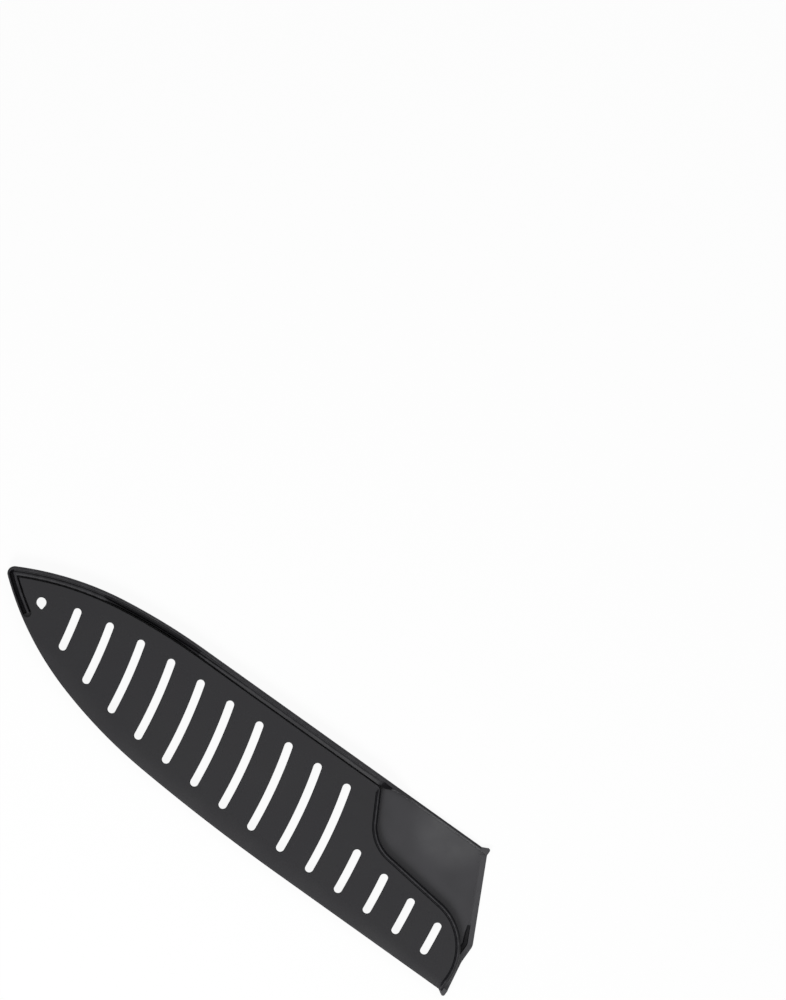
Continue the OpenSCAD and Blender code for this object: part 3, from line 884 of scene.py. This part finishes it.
def build_back():
    shell = Shell()
    rail_in = rings(lambda d: rail_path(ROOT_INSET + d, RAIL_XS), RAIL_STEPS, lambda k, t, x: [(0, 0)])
    edge_in = rings(lambda d: edge_path(ROOT_INSET + d, HEEL_X), EDGE_STEPS, lambda k, t, x: [(0, 0)])
    points = len(lip(UNDER_R) + lead_in(0))
    heights = [BACK_T * j / (points - 1) for j in range(points)]
    rim = [[Vector((ring[0].x, ring[0].y, z)) for z in heights] for ring in rail_in + edge_in[1:]]
    hollow_from = len(rim) + MOUTH_STEPS[0] + MOUTH_STEPS[1]

    def mouth_finish(i, j):
        if i < len(rim) or j < BEVEL_FACE:
            return OUTSIDE
        # The mouth's bevel gets the lighter rubbed finish, which is partly a painted highlight
        if j == BEVEL_FACE:
            return RUBBED_AND_HIGHLIT
        # Painted shade: the darker, less shiny plastic in the mouth's hollow
        return PAINTED_SHADE if hollow_from < i < hollow_from + HOLLOW_RINGS else INSIDE

    mouth = normal_rings(mouth_path(), MOUTH_STEPS, mouth_profile)
    shell.plate(rim + mouth, openings(0, BACK_T), INSIDE, mouth_finish)
    shell.sweep(rings(lambda d: rail_path(d, RAIL_XS), RAIL_STEPS, rail_profile), rail_finish)
    crest_from = EDGE_SECTION[0] + EDGE_SECTION[1]
    shell.sweep(rounded_end(crest_from, RAIL_W - SEAM_OPEN, RAIL_Z, CREST_DROP))
    shell.sweep(rounded_end(END_FLOOR_INSET, RAIL_W + END_FLOOR_REACH, SEAT_Z - END_FLOOR_DROP, 0.0))
    wall_top = [(0, SEAT_Z - PARTING_R), (PARTING_R, SEAT_Z), (EDGE_WALL, SEAT_Z)]
    wall = wall_foot() + wall_top + [(EDGE_WALL, BURIED)]
    shell.sweep(rings(lambda d: edge_path(d, HEEL_X), EDGE_STEPS, lambda k, t, x: wall))
    add_lug(shell, Vector((NUB_X, 0)), 1, NUB_H, BARE_Z + LUG_PROUD)
    add_lug(shell, Vector((GUARD_LENGTH, -GUARD_WIDTH)), -1, FOOT_H, SEAT_Z)
    return shell.finish("back_shell_skin", (outside, inside, painted_shade_black, rubbed_and_highlit))


def rounded_end(near, far, top, crown):
    """Rings of a half-round end past the rail's tail, between two insets, with a crowned top."""
    half = (far - near) / 2
    ahead, across = unit(TAIL_ANGLE + 90), unit(TAIL_ANGLE)
    middle = EDGE_NOSE_C + SHIFT + (EDGE_NOSE_R - near - half) * across
    out = []
    for i in range(END_RINGS):
        a = math.radians(END_TURN * i / (END_RINGS - 1))
        width = half * math.cos(a)
        tip = middle + ahead * half * math.sin(a)
        ring = [Vector((*(tip - across * width), BURIED))]
        for j in range(0, 180 + END_FAN, END_FAN):
            b = math.radians(j)
            z = top - crown + crown * math.sin(b) * math.cos(a)
            ring.append(Vector((*(tip - across * width * math.cos(b)), z)))
        ring.append(Vector((*(tip + across * width), BURIED)))
        out.append(ring)
    return out


def add_lug(shell, place, side, h, top):
    """Ramped lug at an end of the mouth, standing h out of the guard's side."""
    tip = Vector((-LUG_R, h - LUG_R))
    ramp = Vector((LUG_LENGTH, 0)) + tip
    turn = math.degrees(math.atan2(ramp.y, ramp.x) + math.asin(LUG_R / ramp.length))
    nose = (tip, LUG_R, 0, 90 + turn)
    path = [
        nose,
        line(at(nose, 1)[0], (-LUG_LENGTH, 0), at(nose, 1)[1]),
        line((-LUG_LENGTH, 0), (-LUG_LENGTH, -EDGE_WALL), (0, 0)),
        line((-LUG_LENGTH, -EDGE_WALL), (0, -EDGE_WALL), (0, 0)),
        line((0, -EDGE_WALL), (0, h - LUG_R), (1, 0)),
    ]
    low = lip(LUG_EDGE_R, LUG_POINTS)
    high = [(d, top - z) for d, z in reversed(low)]
    loops = normal_rings(path, LUG_STEPS, lambda k, t, x: low + high)[:-1]
    moved = [[Vector((place.x + p.x, place.y + side * p.y, p.z)) for p in ring] for ring in loops]
    # The whole lug gets the lighter rubbed finish, which is partly a painted highlight
    shell.plate(moved, (), RUBBED_AND_HIGHLIT, lambda i, j: RUBBED_AND_HIGHLIT)


# Front cover


def edge_profile(r, reach, drop=0.0):
    """Side, quarter round of radius r, and a shoulder up to reach that rises by drop."""
    side = [(PARTING_R, SEAT_Z), (0, SEAT_Z + PARTING_R), (0, COVER_Z - drop - r)]
    arc = quarter(r, COVER_Z - drop - r, r, 180, ROUND_STEPS + 1)[1:]
    shoulder = [
        (r + (reach - r) * i / SHOULDER_STEPS, COVER_Z - drop * (1 - i / SHOULDER_STEPS) ** 2)
        for i in range(1, SHOULDER_STEPS + 1)
    ]
    return side + arc + shoulder


def bead_profile():
    """Raised bead with a leaning outer side, and the valley behind it."""
    side = [(0, SEAT_Z), (0, SEAT_Z + PARTING_R), (BEAD_SIDE / 2, COVER_Z - BEAD_FOOT)]
    half = (BEAD_W - BEAD_SIDE) / 2
    turns = [math.pi * i / ROUND_STEPS for i in range(1, ROUND_STEPS + 1)]
    arc = [(BEAD_SIDE + half * (1 - math.cos(a)), COVER_Z + RAIL_RISE * math.sin(a)) for a in turns]
    shares = [i / SHOULDER_STEPS for i in range(1, SHOULDER_STEPS + 1)]
    valley = [(BEAD_W + VALLEY_W * u, COVER_Z - VALLEY_DEPTH * math.sin(math.pi * u)) for u in shares]
    return side + arc + valley


def scoop_path(gap):
    """The cover's edge at the mouth, from the heel through the scoop to the seam's start."""
    corner_at = (SCOOP_CORNER[0], -gap)
    heel = corner_arc((HEEL_X, -GUARD_WIDTH), SCOOP_HEEL, SCOOP_FOOT, SCOOP_HEEL_R)
    foot = corner_arc(SCOOP_HEEL, SCOOP_FOOT, corner_at, SCOOP_FOOT_R)
    corner = corner_arc(SCOOP_FOOT, corner_at, (0, -gap), SCOOP_CORNER_R)
    return [
        line((HEEL_X, -GUARD_WIDTH + HEEL_CROWN_W + HEEL_SIDE), at(heel, 0)[0], (1, 0)),
        heel,
        line(at(heel, 1)[0], at(foot, 0)[0], at(heel, 1)[1]),
        foot,
        line(at(foot, 1)[0], at(corner, 0)[0], at(foot, 1)[1]),
        corner,
    ]


def tail_rings(seam, thin):
    """The cover's recess round the rail's tail, and its edge from there out to the guard's side."""
    inner = RAIL_W + SEAM_OPEN / 2
    radius = (inner - ROOT_INSET) / 2 + SEAM_GAP
    ahead, across = unit(TAIL_ANGLE + 90), unit(TAIL_ANGLE)
    arc_centre = EDGE_NOSE_C + SHIFT
    centre = arc_centre + (EDGE_NOSE_R - (ROOT_INSET + inner) / 2) * across
    out = []
    for i in range(1, TAIL_FAN + 1):
        n = unit(TAIL_ANGLE + 180 - TAIL_SWEEP * i / TAIL_FAN)
        out.append(ring_at(centre + radius * n, -n, blend(seam, thin, i / TAIL_FAN)))
    end_in = arc_centre + (EDGE_NOSE_R - THIN_INSET) * across + SEAM_GAP * ahead
    end_out = arc_centre + EDGE_NOSE_R * across + SEAM_GAP * ahead
    out.append([Vector((*(end_in + d * across + d * ahead), z)) for d, z in thin])
    out.append([Vector((*(end_out - d * across + d * ahead), z)) for d, z in thin])
    return out


def build_front():
    seam = edge_profile(SEAM_BEVEL, SEAM_REACH)
    thin = edge_profile(THIN_R, THIN_REACH)
    border = edge_profile(BORDER_R, BORDER_REACH, BORDER_DROP)
    crowned = edge_profile(BORDER_R, CROWN_W, CROWN_DROP)
    heel = edge_profile(BORDER_R, HEEL_CROWN_W, HEEL_CROWN_DROP)
    bead = bead_profile()
    gap = RAIL_W + SEAM_OPEN / 2 + SEAM_GAP
    mouth = scoop_path(gap)

    def mouth_edge(k, t, x):
        return blend(bead, seam, t) if k == len(mouth) - 1 else bead

    def cutting_edge(k, t, x):
        start = blend(thin, border, smooth((x - TAIL_X) / BORDER_RUN))
        middle = blend(start, crowned, smooth((x - CROWN_FROM) / CROWN_RUN))
        return blend(middle, heel, smooth((x - HEEL_CROWN_FROM) / HEEL_CROWN_RUN))

    scoop = normal_rings(mouth, SCOOP_STEPS, mouth_edge)
    seam_from = (at(mouth[-1], 1)[0].x,)
    along_rail = rings(lambda d: rail_path(gap + d, seam_from), SEAM_STEPS, lambda k, t, x: seam)
    along_edge = rings(lambda d: edge_path(d, HEEL_X - HEEL_END), EDGE_STEPS, cutting_edge)
    heel_end = [
        Vector((HEEL_X - b[0], -GUARD_WIDTH + e[0], min(b[1], e[1]))) for b, e in zip(bead, heel)
    ]

    def side_finish(i, j):
        # Painted shade: the darker, less shiny plastic on the scoop bead's outer side
        return COVER_PAINTED_SHADE if i < len(scoop) and j < BEAD_SIDE_FACES else OUTSIDE

    shell = Shell()
    outer = scoop + along_rail[1:] + tail_rings(seam, thin) + along_edge[1:] + [heel_end]
    shell.plate(outer, openings(SEAT_Z, COVER_Z), OUTSIDE, side_finish)
    return shell.finish("front_cover_skin", (outside, painted_shade_black))


back = build_back()
front = build_front()
for skin, node, slot in ((back, "back_shell", "shell"), (front, "front_cover", "cover")):
    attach(skin, "root")
    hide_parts(node)


# Floor, light and camera


def seen_directly(nodes, links):
    """1 for camera, mirror and see-through rays, else 0."""
    rays = nodes.new("ShaderNodeLightPath")
    value = rays.outputs["Is Camera Ray"]
    for kind in ("Is Glossy Ray", "Is Transmission Ray"):
        either = nodes.new("ShaderNodeMath")
        either.operation = "MAXIMUM"
        links.new(value, either.inputs[0])
        links.new(rays.outputs[kind], either.inputs[1])
        value = either.outputs["Value"]
    return value


bpy.ops.mesh.primitive_plane_add(size=FLOOR_SIZE, location=(0, 0, FLOOR_Z))
floor = bpy.context.object
floor.name = "floor"
floor_mat = bpy.data.materials.new("white_floor")
floor_mat.use_nodes = True
nodes, links = floor_mat.node_tree.nodes, floor_mat.node_tree.links
nodes["Principled BSDF"].inputs["Base Color"].default_value = FLOOR_COLOR
nodes["Principled BSDF"].inputs["Roughness"].default_value = FLOOR_ROUGHNESS
nodes["Principled BSDF"].inputs["Specular IOR Level"].default_value = FLOOR_SHINE
glow = nodes.new("ShaderNodeEmission")
glow.inputs["Color"].default_value = (1, 1, 1, 1)
links.new(seen_directly(nodes, links), glow.inputs["Strength"])
both = nodes.new("ShaderNodeMixShader")
both.inputs["Fac"].default_value = FLOOR_WHITENESS
links.new(nodes["Principled BSDF"].outputs["BSDF"], both.inputs[1])
links.new(glow.outputs["Emission"], both.inputs[2])
links.new(both.outputs["Shader"], nodes["Material Output"].inputs["Surface"])
floor.data.materials.append(floor_mat)

world = bpy.data.worlds.new("studio")
world.use_nodes = True
bpy.context.scene.world = world
nodes, links = world.node_tree.nodes, world.node_tree.links
level = nodes.new("ShaderNodeMapRange")
level.inputs["To Min"].default_value = WORLD_LIGHT
level.inputs["To Max"].default_value = 1.0
links.new(seen_directly(nodes, links), level.inputs["Value"])
links.new(level.outputs["Result"], nodes["Background"].inputs["Strength"])
nodes["Background"].inputs["Color"].default_value = (1, 1, 1, 1)


def lamp(name, place, size, watts):
    data = bpy.data.lights.new(name, "AREA")
    data.shape = "DISK"
    data.size = size
    data.energy = watts
    obj = bpy.data.objects.new(name, data)
    obj.location = place
    obj.rotation_mode = "QUATERNION"
    obj.rotation_quaternion = (-Vector(place)).to_track_quat("-Z", "Y")
    bpy.context.scene.collection.objects.link(obj)


lamp("key", KEY_AT, KEY_SIZE, KEY_WATTS)
lamp("fill", FILL_AT, FILL_SIZE, FILL_WATTS)

from_nose = Vector((IMAGE_W / 2, IMAGE_H / 2)) - NOSE_PX
turn = math.radians(GUARD_TILT)
u = (from_nose.x * math.cos(turn) + from_nose.y * math.sin(turn)) * MM_PER_PX
v = (-from_nose.x * math.sin(turn) + from_nose.y * math.cos(turn)) * MM_PER_PX
distance = IMAGE_H * MM_PER_PX * MM / SENSOR * LENS
x, y, z = placed((u, -v, COVER_Z))
cam = bpy.data.cameras.new("camera")
cam.lens = LENS
cam.sensor_width = SENSOR
cam.clip_start = NEAREST
cam.clip_end = FURTHEST
camera = bpy.data.objects.new("camera", cam)
camera.location = (x, y, z + distance)
camera.rotation_euler = (0, 0, turn)
bpy.context.scene.collection.objects.link(camera)
bpy.context.scene.camera = camera

scene = bpy.context.scene
scene.view_settings.view_transform = "Standard"
